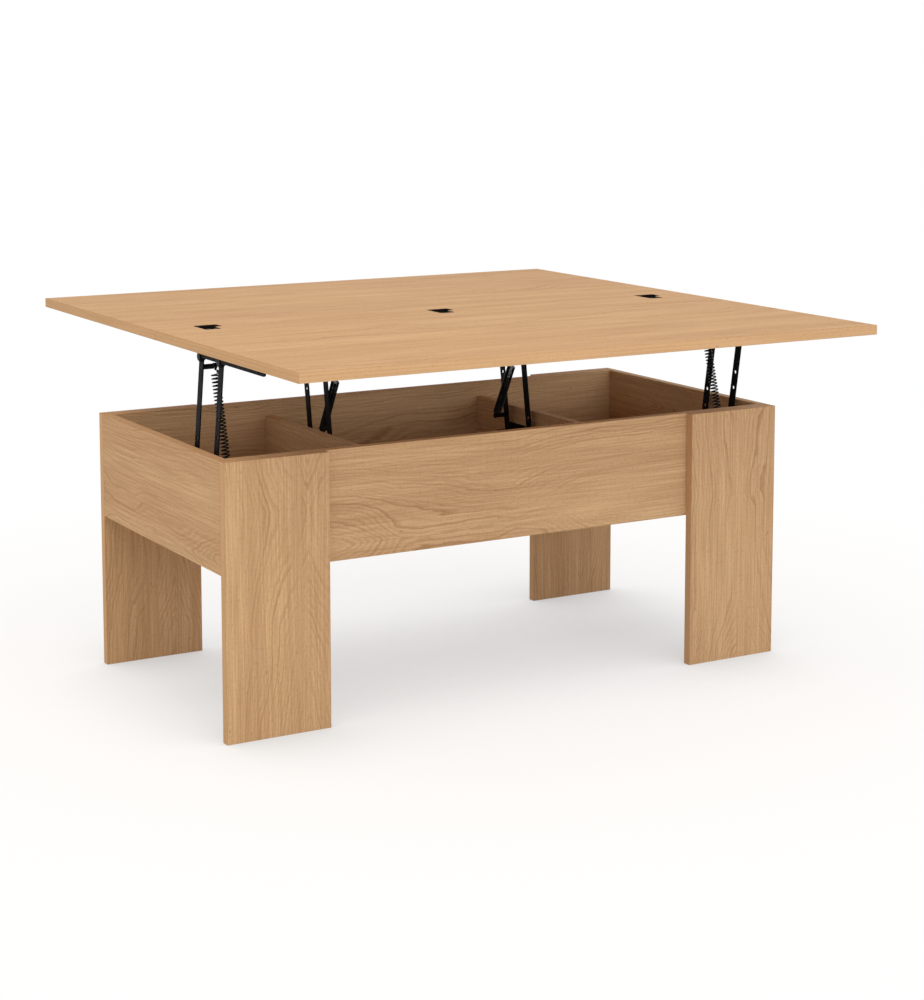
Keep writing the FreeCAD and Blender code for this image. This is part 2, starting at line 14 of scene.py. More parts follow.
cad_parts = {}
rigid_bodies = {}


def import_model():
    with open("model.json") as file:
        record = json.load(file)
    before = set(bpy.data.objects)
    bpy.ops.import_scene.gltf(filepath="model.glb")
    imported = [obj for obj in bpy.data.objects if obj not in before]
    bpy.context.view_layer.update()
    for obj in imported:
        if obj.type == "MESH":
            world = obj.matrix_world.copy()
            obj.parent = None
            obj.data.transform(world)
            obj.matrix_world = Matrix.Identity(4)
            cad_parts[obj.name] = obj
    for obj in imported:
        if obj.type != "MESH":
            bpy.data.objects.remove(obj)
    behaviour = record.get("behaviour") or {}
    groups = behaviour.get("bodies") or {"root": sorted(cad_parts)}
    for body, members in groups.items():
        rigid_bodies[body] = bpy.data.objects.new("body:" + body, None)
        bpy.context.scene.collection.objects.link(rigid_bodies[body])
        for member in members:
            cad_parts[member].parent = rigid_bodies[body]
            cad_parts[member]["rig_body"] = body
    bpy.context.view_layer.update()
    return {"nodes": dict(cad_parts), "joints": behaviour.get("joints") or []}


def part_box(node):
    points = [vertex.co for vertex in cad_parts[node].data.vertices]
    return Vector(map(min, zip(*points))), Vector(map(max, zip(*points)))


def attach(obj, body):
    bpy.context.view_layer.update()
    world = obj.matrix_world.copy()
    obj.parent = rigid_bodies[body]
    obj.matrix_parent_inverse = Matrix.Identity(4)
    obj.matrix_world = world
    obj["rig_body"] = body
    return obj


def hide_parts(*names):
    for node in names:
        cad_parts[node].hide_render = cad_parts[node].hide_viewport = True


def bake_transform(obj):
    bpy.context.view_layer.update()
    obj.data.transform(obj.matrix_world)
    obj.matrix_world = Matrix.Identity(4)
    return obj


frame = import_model()
cad = frame["nodes"]


# Board legs. Each is one 15 mm particle board, 170 mm wide, pressed with oak decor paper on both
# faces, banded on its edges with the same decor, and screwed to the box from inside. The grain
# stands upright, and the trimming of the bands leaves a fine eased edge, a little darker.
board_arris = 0.0005  # radius of the trimmed edge
band_width = 0.02  # a face narrower than this is a banded edge
along_table, front_to_back, upright = 0, 1, 2  # the axes that a grain can follow

same_place = 2e-6  # points of a CAD mesh nearer than this are one point
flat_within = math.radians(0.2)  # triangles that turn less than this are one face
eased_beyond = math.radians(40.0)  # edges that turn more than this are eased
creased_beyond = math.radians(35.0)  # edges that still turn more than this shade as creases


def colour(hex_code):
    """A colour written as sRGB hex, in the linear values that shaders take."""
    parts = [int(hex_code[i:i + 2], 16) / 255 for i in (1, 3, 5)]
    linear = [c / 12.92 if c <= 0.04045 else ((c + 0.055) / 1.055) ** 2.4 for c in parts]
    return (*linear, 1.0)


def add(tree, kind, inputs=(), stops=(), **settings):
    """Adds a node. An input takes a value, a socket, a node's first output, or a list of them.

    The stops of a colour ramp are places and tones. The first two are the ramp's own.
    """
    node = tree.nodes.new(kind)
    for setting, value in settings.items():
        setattr(node, setting, value)
    for index, (position, tone) in enumerate(stops):
        marks = node.color_ramp.elements
        mark = marks[index] if index < 2 else marks.new(position)
        mark.position = position
        mark.color = tone if isinstance(tone, tuple) else (tone, tone, tone, 1.0)
    for name, value in dict(inputs).items():
        socket = node.inputs[name]
        for source in value if isinstance(value, list) else [value]:
            if isinstance(source, bpy.types.Node):
                tree.links.new(source.outputs[0], socket)
            elif isinstance(source, bpy.types.NodeSocket):
                tree.links.new(source, socket)
            else:
                socket.default_value = source
    return node


def new_material(name):
    """An empty material and its node tree."""
    material = bpy.data.materials.new(name)
    material.use_nodes = True
    material.node_tree.nodes.clear()
    return material, material.node_tree


# The figure of the decor. Growth lines lie round a heart line, which dives under the face and
# comes up again, so that they open into arches.
ring_width = 0.0052  # from one growth line to the next
heart_reach = 0.16  # half the distance from one heart line to the next, across the grain
heart_sway = 0.022  # how far a heart line wanders to each side
dive_reach = 0.4  # half the distance from one dive to the next, along the grain
dive_slope = 0.16  # depth for each metre along the grain
dive_waver = 0.035  # further depth that comes and goes
point_reach, point_round = 0.02, 0.015  # the arches are pointed this near to a heart line
point_pull = 0.55  # how sharply
ragged_line = 0.006  # how far a growth line strays
season_rate, season_low = 0.8, 0.25  # changes of strength for each ring, and the least strength

# Pin knots, one in each cell of the decor, along the grain and across it. The growth lines bend
# round a knot within its field, and it is dark in its eye and fades out to its rim.
knot_cell = (0.3, 0.15)
knot_bulge = 0.009
knot_field, knot_eye, knot_rim = 0.3, 0.004, 0.014  # as shares of a cell

# Patches of the decor: length along the grain, width across it, and detail.
patches = {
    "wander": (0.6, 0.3, 1.0),  # of the heart lines
    "depth": (0.34, 0.5, 1.5),  # of the heart lines under the face
    "ragged": (0.05, 0.011, 3.0),  # growth lines
    "strength": (0.4, 0.045, 2.0),  # of the growth lines' ink
    "tone": (1.0, 0.036, 2.0),  # of the paper, in broad stripes
    "fibres": (0.14, 0.0026, 3.0),
    "pores": (0.007, 0.0005, 1.0),  # real ones are about half as wide, too fine to show
}
usual = {"From Min": 0.35, "From Max": 0.65}  # what a patch's values mostly lie between

line_ink = (0.1, 0.8)  # least and most
fibre_ink = 0.44
pore_ink = 0.45
knot_ink = 0.4
pore_depth = 0.0001
satin = (0.5, 0.66)  # least and most roughness
melamine_shine = 0.05

# A Mix node's colour sockets share their names with others, so they go by number.
mix_under, mix_over, mix_made = 6, 7, 2


def oak_decor(name, pale, deep, line, pore, figure=1.0):
    """Printed oak decor under clear melamine, which gives it an even satin sheen.

    It shows flat-sawn oak: growth lines in pointed arches, a few pin knots that they bend round,
    fine fibres and short pores. It follows the UV map "decor", in metres, with U along the grain
    and V across it. With a figure of 0 the growth lines run straight.
    """
    material, tree = new_material(name)
    laid = add(tree, "ShaderNodeUVMap", uv_map="decor")
    noises = {}
    for part, (length, width, detail) in patches.items():
        placed = add(
            tree, "ShaderNodeMapping", {"Vector": laid, "Scale": (1 / length, 1 / width, 1.0)},
        )
        noises[part] = add(
            tree, "ShaderNodeTexNoise", {"Vector": placed, "Scale": 1.0, "Detail": detail},
            noise_dimensions="2D",
        )

    place = add(tree, "ShaderNodeSeparateXYZ", {"Vector": laid}).outputs
    sway = add(
        tree, "ShaderNodeMapRange",
        {"Value": noises["wander"], "To Min": -heart_sway * figure, "To Max": heart_sway * figure},
    )
    swayed = add(tree, "ShaderNodeMath", {0: place["Y"], 1: sway}, operation="ADD")
    side = add(tree, "ShaderNodeMath", {0: swayed, 1: heart_reach}, operation="PINGPONG")
    waver = add(
        tree, "ShaderNodeMapRange",
        {"Value": noises["depth"], "From Min": 0.3, "From Max": 0.7,
         "To Min": 0.0, "To Max": dive_waver * figure},
    )
    dive = add(tree, "ShaderNodeMath", {0: place["X"], 1: dive_reach}, operation="PINGPONG")
    depth = add(
        tree, "ShaderNodeMath", {0: dive, 1: dive_slope * figure, 2: waver},
        operation="MULTIPLY_ADD",
    )
    side_squared = add(tree, "ShaderNodeMath", {0: side, 1: side}, operation="MULTIPLY")
    squares = add(
        tree, "ShaderNodeMath", {0: depth, 1: depth, 2: side_squared}, operation="MULTIPLY_ADD",
    )
    radius = add(tree, "ShaderNodeMath", {0: squares}, operation="SQRT")
    beside = add(
        tree, "ShaderNodeMath", {0: side, 1: point_reach, 2: point_round}, operation="SMOOTH_MIN",
    )
    pointed = add(
        tree, "ShaderNodeMath", {0: beside, 1: point_pull, 2: radius}, operation="MULTIPLY_ADD",
    )
    ragged = add(
        tree, "ShaderNodeMath", {0: noises["ragged"], 1: ragged_line * figure, 2: pointed},
        operation="MULTIPLY_ADD",
    )
    cells = add(
        tree, "ShaderNodeMapping",
        {"Vector": laid, "Scale": (1 / knot_cell[0], 1 / knot_cell[1], 1.0)},
    )
    knots = add(
        tree, "ShaderNodeTexVoronoi", {"Vector": cells, "Scale": 1.0, "Randomness": 1.0},
        voronoi_dimensions="2D",
    ).outputs["Distance"]
    bulge = add(
        tree, "ShaderNodeMapRange",
        {"Value": knots, "From Min": 0.0, "From Max": knot_field,
         "To Min": knot_bulge * figure, "To Max": 0.0},
        interpolation_type="SMOOTHSTEP",
    )
    bent = add(tree, "ShaderNodeMath", {0: ragged, 1: bulge}, operation="ADD")
    rings = add(tree, "ShaderNodeMath", {0: bent, 1: ring_width}, operation="DIVIDE")

    # Across one ring, the late wood is dark, fades out, and darkens again up to the next line.
    phase = add(tree, "ShaderNodeMath", {0: rings}, operation="FRACT")
    growth = add(
        tree, "ShaderNodeValToRGB", {"Fac": phase},
        stops=[(0.0, 1.0), (1.0, 1.0), (0.3, 0.5), (0.62, 0.0), (0.86, 0.1)],
    )
    strength = add(
        tree, "ShaderNodeMapRange",
        {"Value": noises["strength"], **usual, "To Min": line_ink[0], "To Max": line_ink[1]},
    )
    grown = add(tree, "ShaderNodeMath", {0: growth, 1: strength}, operation="MULTIPLY")
    season = add(
        tree, "ShaderNodeTexNoise", {"W": rings, "Scale": season_rate, "Detail": 1.0},
        noise_dimensions="1D",
    )
    season_strength = add(
        tree, "ShaderNodeMapRange",
        {"Value": season, **usual, "To Min": season_low, "To Max": 1.0},
    )

    line_amount = add(
        tree, "ShaderNodeMath", {0: grown, 1: season_strength}, operation="MULTIPLY",
    )
    deep_amount = add(tree, "ShaderNodeMapRange", {"Value": noises["tone"], **usual})
    fibre_amount = add(
        tree, "ShaderNodeMapRange",
        {"Value": noises["fibres"], "From Min": 0.32, "From Max": 0.68, "To Max": fibre_ink},
    )
    pore_amount = add(
        tree, "ShaderNodeMapRange",
        {"Value": noises["pores"], "From Min": 0.6, "From Max": 0.75, "To Max": pore_ink},
    )
    knot_amount = add(
        tree, "ShaderNodeMapRange",
        {"Value": knots, "From Min": knot_eye, "From Max": knot_rim,
         "To Min": knot_ink, "To Max": 0.0},
    )
    printed = colour(pale)
    for amount, ink in (
        (deep_amount, deep), (line_amount, line), (fibre_amount, line), (pore_amount, pore),
        (knot_amount, pore),
    ):
        printed = add(
            tree, "ShaderNodeMix",
            {"Factor": amount, mix_under: printed, mix_over: colour(ink)}, data_type="RGBA",
        ).outputs[mix_made]

    gloss = add(
        tree, "ShaderNodeMapRange",
        {"Value": noises["fibres"], "To Min": satin[0], "To Max": satin[1]},
    )
    relief = add(
        tree, "ShaderNodeBump",
        {"Height": pore_amount, "Strength": 0.3, "Distance": pore_depth}, invert=True,
    )
    shader = add(
        tree, "ShaderNodeBsdfPrincipled",
        {"Base Color": printed, "Roughness": gloss, "Normal": relief,
         "Specular IOR Level": melamine_shine},
    )
    add(tree, "ShaderNodeOutputMaterial", {"Surface": shader})
    return material


def eased_copy(node, radius):
    """A copy of a CAD node's mesh with its sharp edges eased, in a second material."""
    shape = bmesh.new()
    shape.from_mesh(cad[node].data)
    bmesh.ops.remove_doubles(shape, verts=shape.verts, dist=same_place)
    bmesh.ops.dissolve_limit(
        shape, angle_limit=flat_within, verts=shape.verts, edges=shape.edges,
    )
    sharp = [e for e in shape.edges if e.calc_face_angle(0.0) > eased_beyond]
    eased = bmesh.ops.bevel(
        shape, geom=sharp, offset=radius, offset_type="OFFSET", segments=2, profile=0.5,
        affect="EDGES", clamp_overlap=False,
    )
    for face in shape.faces:
        face.smooth = True
        face.material_index = 0
    for face in eased["faces"]:
        face.material_index = 1
    return shape


back_shift = 0.31  # along the decor, to the face that looks right, back or up
band_shift = (0.9, 0.05)  # along and across it, to the bands
band_steps = (0.17, 0.02)  # along it for each axis that a band faces, across it to the far band


def lay_decor(shape, grain, cut_from):
    """Lays the decor on a board's faces along the grain, and on its bands along each edge.

    The bands take a third material, and their eased edges keep the second.
    """
    lows = [min(v.co[axis] for v in shape.verts) for axis in range(3)]
    highs = [max(v.co[axis] for v in shape.verts) for axis in range(3)]
    size = [high - low for low, high in zip(lows, highs)]
    middle = [(high + low) / 2 for low, high in zip(lows, highs)]
    layer = shape.loops.layers.uv.new("decor")
    for face in shape.faces:
        facing = max(range(3), key=lambda axis: abs(face.normal[axis]))
        back = face.normal[facing] > 0
        across, along = sorted(
            (axis for axis in range(3) if axis != facing), key=lambda axis: size[axis],
        )
        if size[across] > band_width:
            if grain == across:
                across, along = along, across
            start = (cut_from[0] + back_shift * back, cut_from[1] * (-1 if back else 1))
        else:
            start = (
                cut_from[0] + band_shift[0] + band_steps[0] * facing,
                band_shift[1] + band_steps[1] * back,
            )
            if face.material_index == 0:
                face.material_index = 2
        for loop in face.loops:
            co = loop.vert.co
            loop[layer].uv = (co[along] + start[0], co[across] - middle[across] + start[1])


def finished_mesh(shape, node, materials):
    """The plain mesh of an eased copy, in its materials. The copy is used up."""
    mesh = bpy.data.meshes.new(node + "_finished")
    shape.to_mesh(mesh)
    shape.free()
    mesh.set_sharp_from_angle(angle=creased_beyond)
    for material in materials:
        mesh.materials.append(material)
    return mesh


def stand_in(mesh, node, even_shading=True):
    """Stands a finished mesh in for a CAD node, riding where the node rides."""
    piece = bpy.data.objects.new(node + "_finished", mesh)
    bpy.context.scene.collection.objects.link(piece)
    if even_shading:
        piece.modifiers.new("even_shading", "WEIGHTED_NORMAL").keep_sharp = True
    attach(piece, cad[node]["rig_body"])
    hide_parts(node)


# The decor on the faces, then on the trimmed edges, which are a little darker, and then on the
# bands, whose lines are nearly straight and faint.
oak = [
    oak_decor("oak_decor_melamine", "#D4B18A", "#CBA681", "#A07C58", "#836142"),
    oak_decor("oak_decor_trimmed_edge", "#C69E74", "#C19871", "#9C7650", "#7F5E40"),
    oak_decor("oak_decor_edge_band", "#D0AA82", "#CDA67F", "#BD9872", "#A07C58", figure=0.1),
]


def board(node, grain, cut_from):
    """A decor board. cut_from is its place on the printed decor, along it and across it."""
    shape = eased_copy(node, board_arris)
    lay_decor(shape, grain, cut_from)
    stand_in(finished_mesh(shape, node, oak), node)


for leg, cut_from in {
    "front_left_leg": (0.86, -0.050),
    "front_right_leg": (1.72, -0.030),
    "back_left_leg": (2.52, -0.030),
    "back_right_leg": (3.11, -0.025),
}.items():
    board(leg, upright, cut_from)


# Rails under the rim, front and back. The same boards as the legs, set 15 mm behind the legs'
# faces and screwed to them, with the grain along the table.
board("front_rail", along_table, (4.4, 0.062))
board("back_rail", along_table, (6.1, 0.02))


# End panels. The same boards again, between the legs and flush with their outer edges, and
# doweled to the rails. The grain runs from front to back.
board("left_end_panel", front_to_back, (7.5, 0.062))
board("right_end_panel", front_to_back, (8.6, -0.05))


# Partitions and bottom panel inside the box, of the same board. The partitions carry the inner
# lifts, stop short of the rim, and are doweled to the rails. The bottom panel lies between the
# rails and the end panels, and is doweled to both.
board("left_partition", front_to_back, (9.2, 0.04))
board("right_partition", front_to_back, (10.3, -0.03))
board("bottom_panel", along_table, (11.4, 0.0))


# Leaves of the top. Two equal boards with the grain along the table, cut one behind the other
# from the same sheet so that the figure runs on across the fold. Recessed for the hinges.
board("front_leaf", along_table, (13.2, 0.07))
board("rear_leaf", along_table, (13.5, 0.57))


# Dowels of the box. Turned beech pins, pressed into the boards and glued, so that they don't
# show once the box is joined.
flecks_per_metre = 900.0


def beech(name):
    """Plain turned beech: pale, with fine flecks a millimetre long."""
    material, tree = new_material(name)
    place = add(tree, "ShaderNodeTexCoord").outputs["Object"]
    flecks = add(
        tree, "ShaderNodeTexNoise", {"Vector": place, "Scale": flecks_per_metre, "Detail": 2.0},
    )
    tone = add(
        tree, "ShaderNodeValToRGB", {"Fac": flecks},
        stops=[(0.35, colour("#B98F63")), (0.65, colour("#D3B184"))],
    )
    shader = add(tree, "ShaderNodeBsdfPrincipled", {"Base Color": tone, "Roughness": 0.6})
    add(tree, "ShaderNodeOutputMaterial", {"Surface": shader})
    return material


cad["dowels"].data.materials.clear()
cad["dowels"].data.materials.append(beech("turned_beech"))


# Screws. Countersunk wood screws hold the legs, base plates and hinges, and flat-topped ones hold
# the top bars. All are steel with black zinc plating, and have a cross recess.
clouds_per_metre = 60.0
glossier, duller = 0.06, 0.08  # how far a coat's roughness strays in its clouds
head_sides, shank_sides = 32, 16
shank_start = 0.9  # of the head's depth, so that the shank reaches into the head
screw_crease = math.radians(30.0)


def coated_steel(
    name, dark, pale, roughness, metallic=0.0, grain_mm=0.5, relief_mm=0.03, shine=0.05,
):
    """Black coated steel: a fine uneven coat, paler and duller in clouds of a centimetre or two."""
    material, tree = new_material(name)
    place = add(tree, "ShaderNodeTexCoord").outputs["Object"]
    peel = add(
        tree, "ShaderNodeTexNoise", {"Vector": place, "Scale": 1000.0 / grain_mm, "Detail": 2.0},
    )
    clouds = add(
        tree, "ShaderNodeTexNoise", {"Vector": place, "Scale": clouds_per_metre, "Detail": 3.0},
    )
    tone = add(
        tree, "ShaderNodeValToRGB", {"Fac": clouds},
        stops=[(0.3, colour(dark)), (0.75, colour(pale))],
    )
    sheen = add(
        tree, "ShaderNodeMapRange",
        {"Value": clouds, "From Min": 0.3, "From Max": 0.7,
         "To Min": roughness - glossier, "To Max": roughness + duller},
    )
    bump = add(
        tree, "ShaderNodeBump", {"Height": peel, "Strength": 0.4, "Distance": relief_mm / 1000.0},
    )
    shader = add(
        tree, "ShaderNodeBsdfPrincipled",
        {"Base Color": tone, "Roughness": sheen, "Normal": bump, "Metallic": metallic,
         "Specular IOR Level": shine},
    )
    add(tree, "ShaderNodeOutputMaterial", {"Surface": shader})
    return material


def start_tree(name, sizes):
    """A tree of Geometry Nodes and its inputs: the geometry, sizes in metres, and a finish."""
    tree = bpy.data.node_groups.new(name, "GeometryNodeTree")
    sockets = tree.interface
    sockets.new_socket(name="Geometry", in_out="INPUT", socket_type="NodeSocketGeometry")
    for size in sizes:
        sockets.new_socket(name=size, in_out="INPUT", socket_type="NodeSocketFloat")
    sockets.new_socket(name="Finish", in_out="INPUT", socket_type="NodeSocketMaterial")
    sockets.new_socket(name="Geometry", in_out="OUTPUT", socket_type="NodeSocketGeometry")
    return tree, add(tree, "NodeGroupInput").outputs


def end_tree(tree, made, finish):
    """Ends a tree with real geometry in its finish."""
    real = add(tree, "GeometryNodeRealizeInstances", {"Geometry": made})
    finished = add(tree, "GeometryNodeSetMaterial", {"Geometry": real, "Material": finish})
    add(tree, "NodeGroupOutput", {"Geometry": finished})


def screw_tree():
    """Screws on points: each stands on its point and turns its head along the vector "facing"."""
    tree, given = start_tree("screws_on_points", (
        "Face radius", "Base radius", "Head depth", "Shank radius", "Length", "Recess length",
        "Recess width", "Recess depth",
    ))
    head_low = add(tree, "ShaderNodeMath", {0: given["Head depth"], 1: -1.0}, operation="MULTIPLY")
    head_place = add(tree, "ShaderNodeCombineXYZ", {"Z": head_low})
    cone = add(
        tree, "GeometryNodeMeshCone",
        {"Vertices": head_sides, "Radius Top": given["Face radius"],
         "Radius Bottom": given["Base radius"], "Depth": given["Head depth"]},
    )
    head = add(tree, "GeometryNodeTransform", {"Geometry": cone, "Translation": head_place})
    bars = []
    for x, y in (("Recess length", "Recess width"), ("Recess width", "Recess length")):
        size = add(
            tree, "ShaderNodeCombineXYZ",
            {"X": given[x], "Y": given[y], "Z": given["Recess depth"]},
        )
        bars.append(add(tree, "GeometryNodeMeshCube", {"Size": size}))
    recessed = add(
        tree, "GeometryNodeMeshBoolean", {"Mesh 1": head, "Mesh 2": bars}, operation="DIFFERENCE",
    )
    half_down = add(tree, "ShaderNodeMath", {0: given["Length"], 1: -0.5}, operation="MULTIPLY")
    shank_low = add(
        tree, "ShaderNodeMath", {0: given["Head depth"], 1: -shank_start, 2: half_down},
        operation="MULTIPLY_ADD",
    )
    shank_place = add(tree, "ShaderNodeCombineXYZ", {"Z": shank_low})
    rod = add(
        tree, "GeometryNodeMeshCylinder",
        {"Vertices": shank_sides, "Radius": given["Shank radius"], "Depth": given["Length"]},
    )
    shank = add(tree, "GeometryNodeTransform", {"Geometry": rod, "Translation": shank_place})
    screw = add(tree, "GeometryNodeJoinGeometry", {"Geometry": [recessed, shank]})
    facing = add(
        tree, "GeometryNodeInputNamedAttribute", {"Name": "facing"}, data_type="FLOAT_VECTOR",
    )
    turn = add(tree, "FunctionNodeAlignRotationToVector", {"Vector": facing}, axis="Z")
    placed = add(
        tree, "GeometryNodeInstanceOnPoints",
        {"Points": given["Geometry"], "Instance": screw, "Rotation": turn},
    )
    end_tree(tree, placed, given["Finish"])
    return tree


def run_tree(source, tree, values):
    """The plain mesh that a tree makes of an object with its inputs set. The object is removed."""
    bpy.context.scene.collection.objects.link(source)
    modifier = source.modifiers.new(tree.name, "NODES")
    modifier.node_group = tree
    for item in tree.interface.items_tree:
        if item.in_out == "INPUT" and item.name in values:
            modifier[item.identifier] = values[item.name]
    bpy.context.view_layer.update()
    evaluated = source.evaluated_get(bpy.context.evaluated_depsgraph_get())
    made = bpy.data.meshes.new_from_object(evaluated)
    bpy.data.objects.remove(source)
    return made


def solids_of(node):
    """The lowest and highest corner of each separate solid of a CAD node."""
    shape = bmesh.new()
    shape.from_mesh(cad[node].data)
    bmesh.ops.remove_doubles(shape, verts=shape.verts, dist=same_place)
    reached = set()
    corners = []
    for first in shape.verts:
        if first in reached:
            continue
        reached.add(first)
        found = [first]
        for vert in found:
            for edge in vert.link_edges:
                other = edge.other_vert(vert)
                if other not in reached:
                    reached.add(other)
                    found.append(other)
        low = Vector(min(v.co[axis] for v in found) for axis in range(3))
        high = Vector(max(v.co[axis] for v in found) for axis in range(3))
        corners.append((low, high))
    shape.free()
    return corners


def screws(node, facing, sizes):
    """The screws of one node. facing gives the way a head looks, from the middle of its screw.

    A head lies at the end of its screw that it looks out of.
    """
    heads, ways = [], []
    for low, high in solids_of(node):
        middle = (low + high) / 2
        way = facing(middle)
        heads.append([(low, middle, high)[1 + round(way[i])][i] for i in range(3)])
        ways += way
    points = bpy.data.meshes.new(node + "_points")
    points.from_pydata(heads, [], [])
    points.attributes.new("facing", "FLOAT_VECTOR", "POINT").data.foreach_set("vector", ways)
    made = run_tree(
        bpy.data.objects.new(node + "_points", points), screw_maker, {**sizes, "Finish": zinc},
    )
    made.set_sharp_from_angle(angle=screw_crease)
    stand_in(made, node, even_shading=False)


# Black zinc plating is thin and smooth, and keeps some of the steel's glint.
zinc = coated_steel(
    "black_zinc_plated_steel", "#141314", "#201F20", 0.42, metallic=0.5, grain_mm=0.35,
    relief_mm=0.02,
)
screw_maker = screw_tree()
leg_screw = {
    "Face radius": 0.004, "Base radius": 0.002, "Head depth": 0.002, "Shank radius": 0.0019,
    "Length": 0.022, "Recess length": 0.0046, "Recess width": 0.0011, "Recess depth": 0.003,
}
plate_screw = {
    "Face radius": 0.0035, "Base radius": 0.00175, "Head depth": 0.0022, "Shank radius": 0.0017,
    "Length": 0.0095, "Recess length": 0.0042, "Recess width": 0.001, "Recess depth": 0.0028,
}
bar_screw = {
    **plate_screw, "Face radius": 0.0026, "Base radius": 0.0035, "Length": 0.0118,
    "Recess length": 0.0036,
}
screws("leg_screws", lambda at: (0, -math.copysign(1, at.y), 0), leg_screw)
screws("base_plate_screws", lambda at: (-math.copysign(1, at.x), 0, 0), plate_screw)
screws("bar_screws", lambda at: (0, 0, -1), bar_screw)


# Hinges of the fold. Pressed steel plates let in flush with the leaves, each with rolled knuckles
# on a steel pin, powder coated black and screwed down.
hinge_arris = 0.0002
hinge_pin_arris = 0.0003
hinge_screw = {
    **plate_screw, "Face radius": 0.003, "Base radius": 0.0015, "Head depth": 0.002,
    "Shank radius": 0.00145, "Recess length": 0.0036,
}


def steel_piece(node, arris, face, edge):
    """A steel piece with its edges eased, and in a finish of their own."""
    stand_in(finished_mesh(eased_copy(node, arris), node, [face, edge]), node)


# Powder coat is matt and slightly pebbled, and thinner over the edges.
hinge_coat = coated_steel("black_powder_coat", "#101010", "#171717", 0.7, shine=0.0)
hinge_edge = coated_steel("black_powder_coat_edge", "#171717", "#1F1F1F", 0.7, shine=0.01)
for node in ("front_hinge_plates", "rear_hinge_plates"):
    steel_piece(node, hinge_arris, hinge_coat, hinge_edge)
steel_piece("hinge_pins", hinge_pin_arris, zinc, zinc)
for node in ("front_hinge_screws", "rear_hinge_screws"):
    screws(node, lambda at: (0, 0, 1), hinge_screw)


# Lift units: base plates on the boards, two flat arms each, and angle bars under the leaves.
# All are blanked from steel sheet, so their edges are slightly rounded, and dip coated black.
units = ("outer_left", "inner_left", "inner_right", "outer_right")
lift_arris = 0.0004

# A dip coat is thick and slightly rippled, and draws thin and glossier over the edges.
lift_coat = coated_steel("black_dip_coat", "#0B0B0C", "#131314", 0.5, grain_mm=0.9)
lift_edge = coated_steel("black_dip_coat_edge", "#131315", "#1C1C1F", 0.42, grain_mm=0.9)
for unit in units:
    for part in ("base_plate", "near_arm", "far_arm", "bar"):
        steel_piece(f"{unit}_{part}", lift_arris, lift_coat, lift_edge)


# Pivot pins, spring pegs and stop pegs. Turned steel, black plated, and peened over where they
# are riveted through plates and arms.
peened_arris = 0.0009
peg_arris = 0.0005
for node in (
    "lower_pivot_pins", "outer_upper_pins", "inner_left_upper_pins", "inner_right_upper_pins",
):
    steel_piece(node, peened_arris, zinc, zinc)
for node in ["stop_pegs"] + [f"{unit}_{end}_peg" for unit in units for end in ("upper", "lower")]:
    steel_piece(node, peg_arris, zinc, zinc)


# Springs. Each is one length of 2.2 mm music wire, oiled black: an eye round the upper peg, a
# coil, and a straight tail with an eye round the lower peg. It is made to reach from peg to peg
# as the pegs stand.
wire_radius = 0.0011
coil_radius = 0.0059
eye_radius = 0.0039
upper_hook = 0.010  # from the upper peg to the coil
lower_hook = {"outer": 0.022, "inner": 0.007}  # from the coil to the lower peg
turns = {"outer": 24.8, "inner": 33.8}
steps_of_turn, sides_of_wire = 26, 12
eye_steps, eye_step = 25, 10.0  # the points of an eye, and the degrees between them
bend_steps, bend_curve = 16, 1.5  # the points of the bend from an eye to the coil, and its shape
upper_bend, lower_bend = 160.0, 200.0  # degrees that the bends turn round the coil's axis
lower_drop = 0.006  # how far down the lower bend reaches, if there is room


def spring_tree():
    """A coil of wire, and the wire of its two hooks, swept round."""
    tree, given = start_tree("coil_spring", (
        "Wire radius", "Coil radius", "Coil start", "Coil length", "Turns",
    ))
    spiral = add(
        tree, "GeometryNodeCurveSpiral",
        {"Resolution": steps_of_turn, "Rotations": given["Turns"],
         "Start Radius": given["Coil radius"], "End Radius": given["Coil radius"],
         "Height": given["Coil length"]},
    )
    start = add(tree, "ShaderNodeCombineXYZ", {"Z": given["Coil start"]})
    coil = add(tree, "GeometryNodeTransform", {"Geometry": spiral, "Translation": start})
    wire = add(tree, "GeometryNodeJoinGeometry", {"Geometry": [given["Geometry"], coil]})
    section = add(
        tree, "GeometryNodeCurvePrimitiveCircle",
        {"Resolution": sides_of_wire, "Radius": given["Wire radius"]},
    )
    swept = add(
        tree, "GeometryNodeCurveToMesh",
        {"Curve": wire, "Profile Curve": section, "Fill Caps": True},
    )
    smooth = add(tree, "GeometryNodeSetShadeSmooth", {"Geometry": swept, "Shade Smooth": True})
    end_tree(tree, smooth, given["Finish"])
    return tree


def hooks(name, length, coil_end, end_angle):
    """The wire of both hooks, from the upper peg at 0 down to the lower peg at length."""
    eye = [math.radians(-eye_step * step) for step in range(1, eye_steps + 1)]
    upper = [(0.0, eye_radius * math.sin(a), eye_radius * math.cos(a)) for a in reversed(eye)]
    for step in range(1, bend_steps + 1):
        share = step / bend_steps
        angle = math.radians(-upper_bend * (1 - share))
        radius = coil_radius * math.sin(share * math.pi / 2) ** bend_curve
        z = eye_radius + (upper_hook - eye_radius) * share
        upper.append((radius * math.cos(angle), radius * math.sin(angle), z))
    lower = []
    drop = min(lower_drop, length - eye_radius - coil_end)
    for step in range(bend_steps + 1):
        share = step / bend_steps
        angle = end_angle + math.radians(lower_bend) * share
        radius = coil_radius * math.cos(share * math.pi / 2) ** bend_curve
        lower.append((radius * math.cos(angle), radius * math.sin(angle), coil_end + drop * share))
    lower += [(0.0, eye_radius * math.sin(a), length - eye_radius * math.cos(a)) for a in eye]
    curve = bpy.data.curves.new(name, "CURVE")
    curve.dimensions = "3D"
    for path in (upper, lower):
        spline = curve.splines.new("POLY")
        spline.points.add(len(path) - 1)
        for point, place in zip(spline.points, path):
            point.co = (*place, 1.0)
    return bpy.data.objects.new(name, curve)


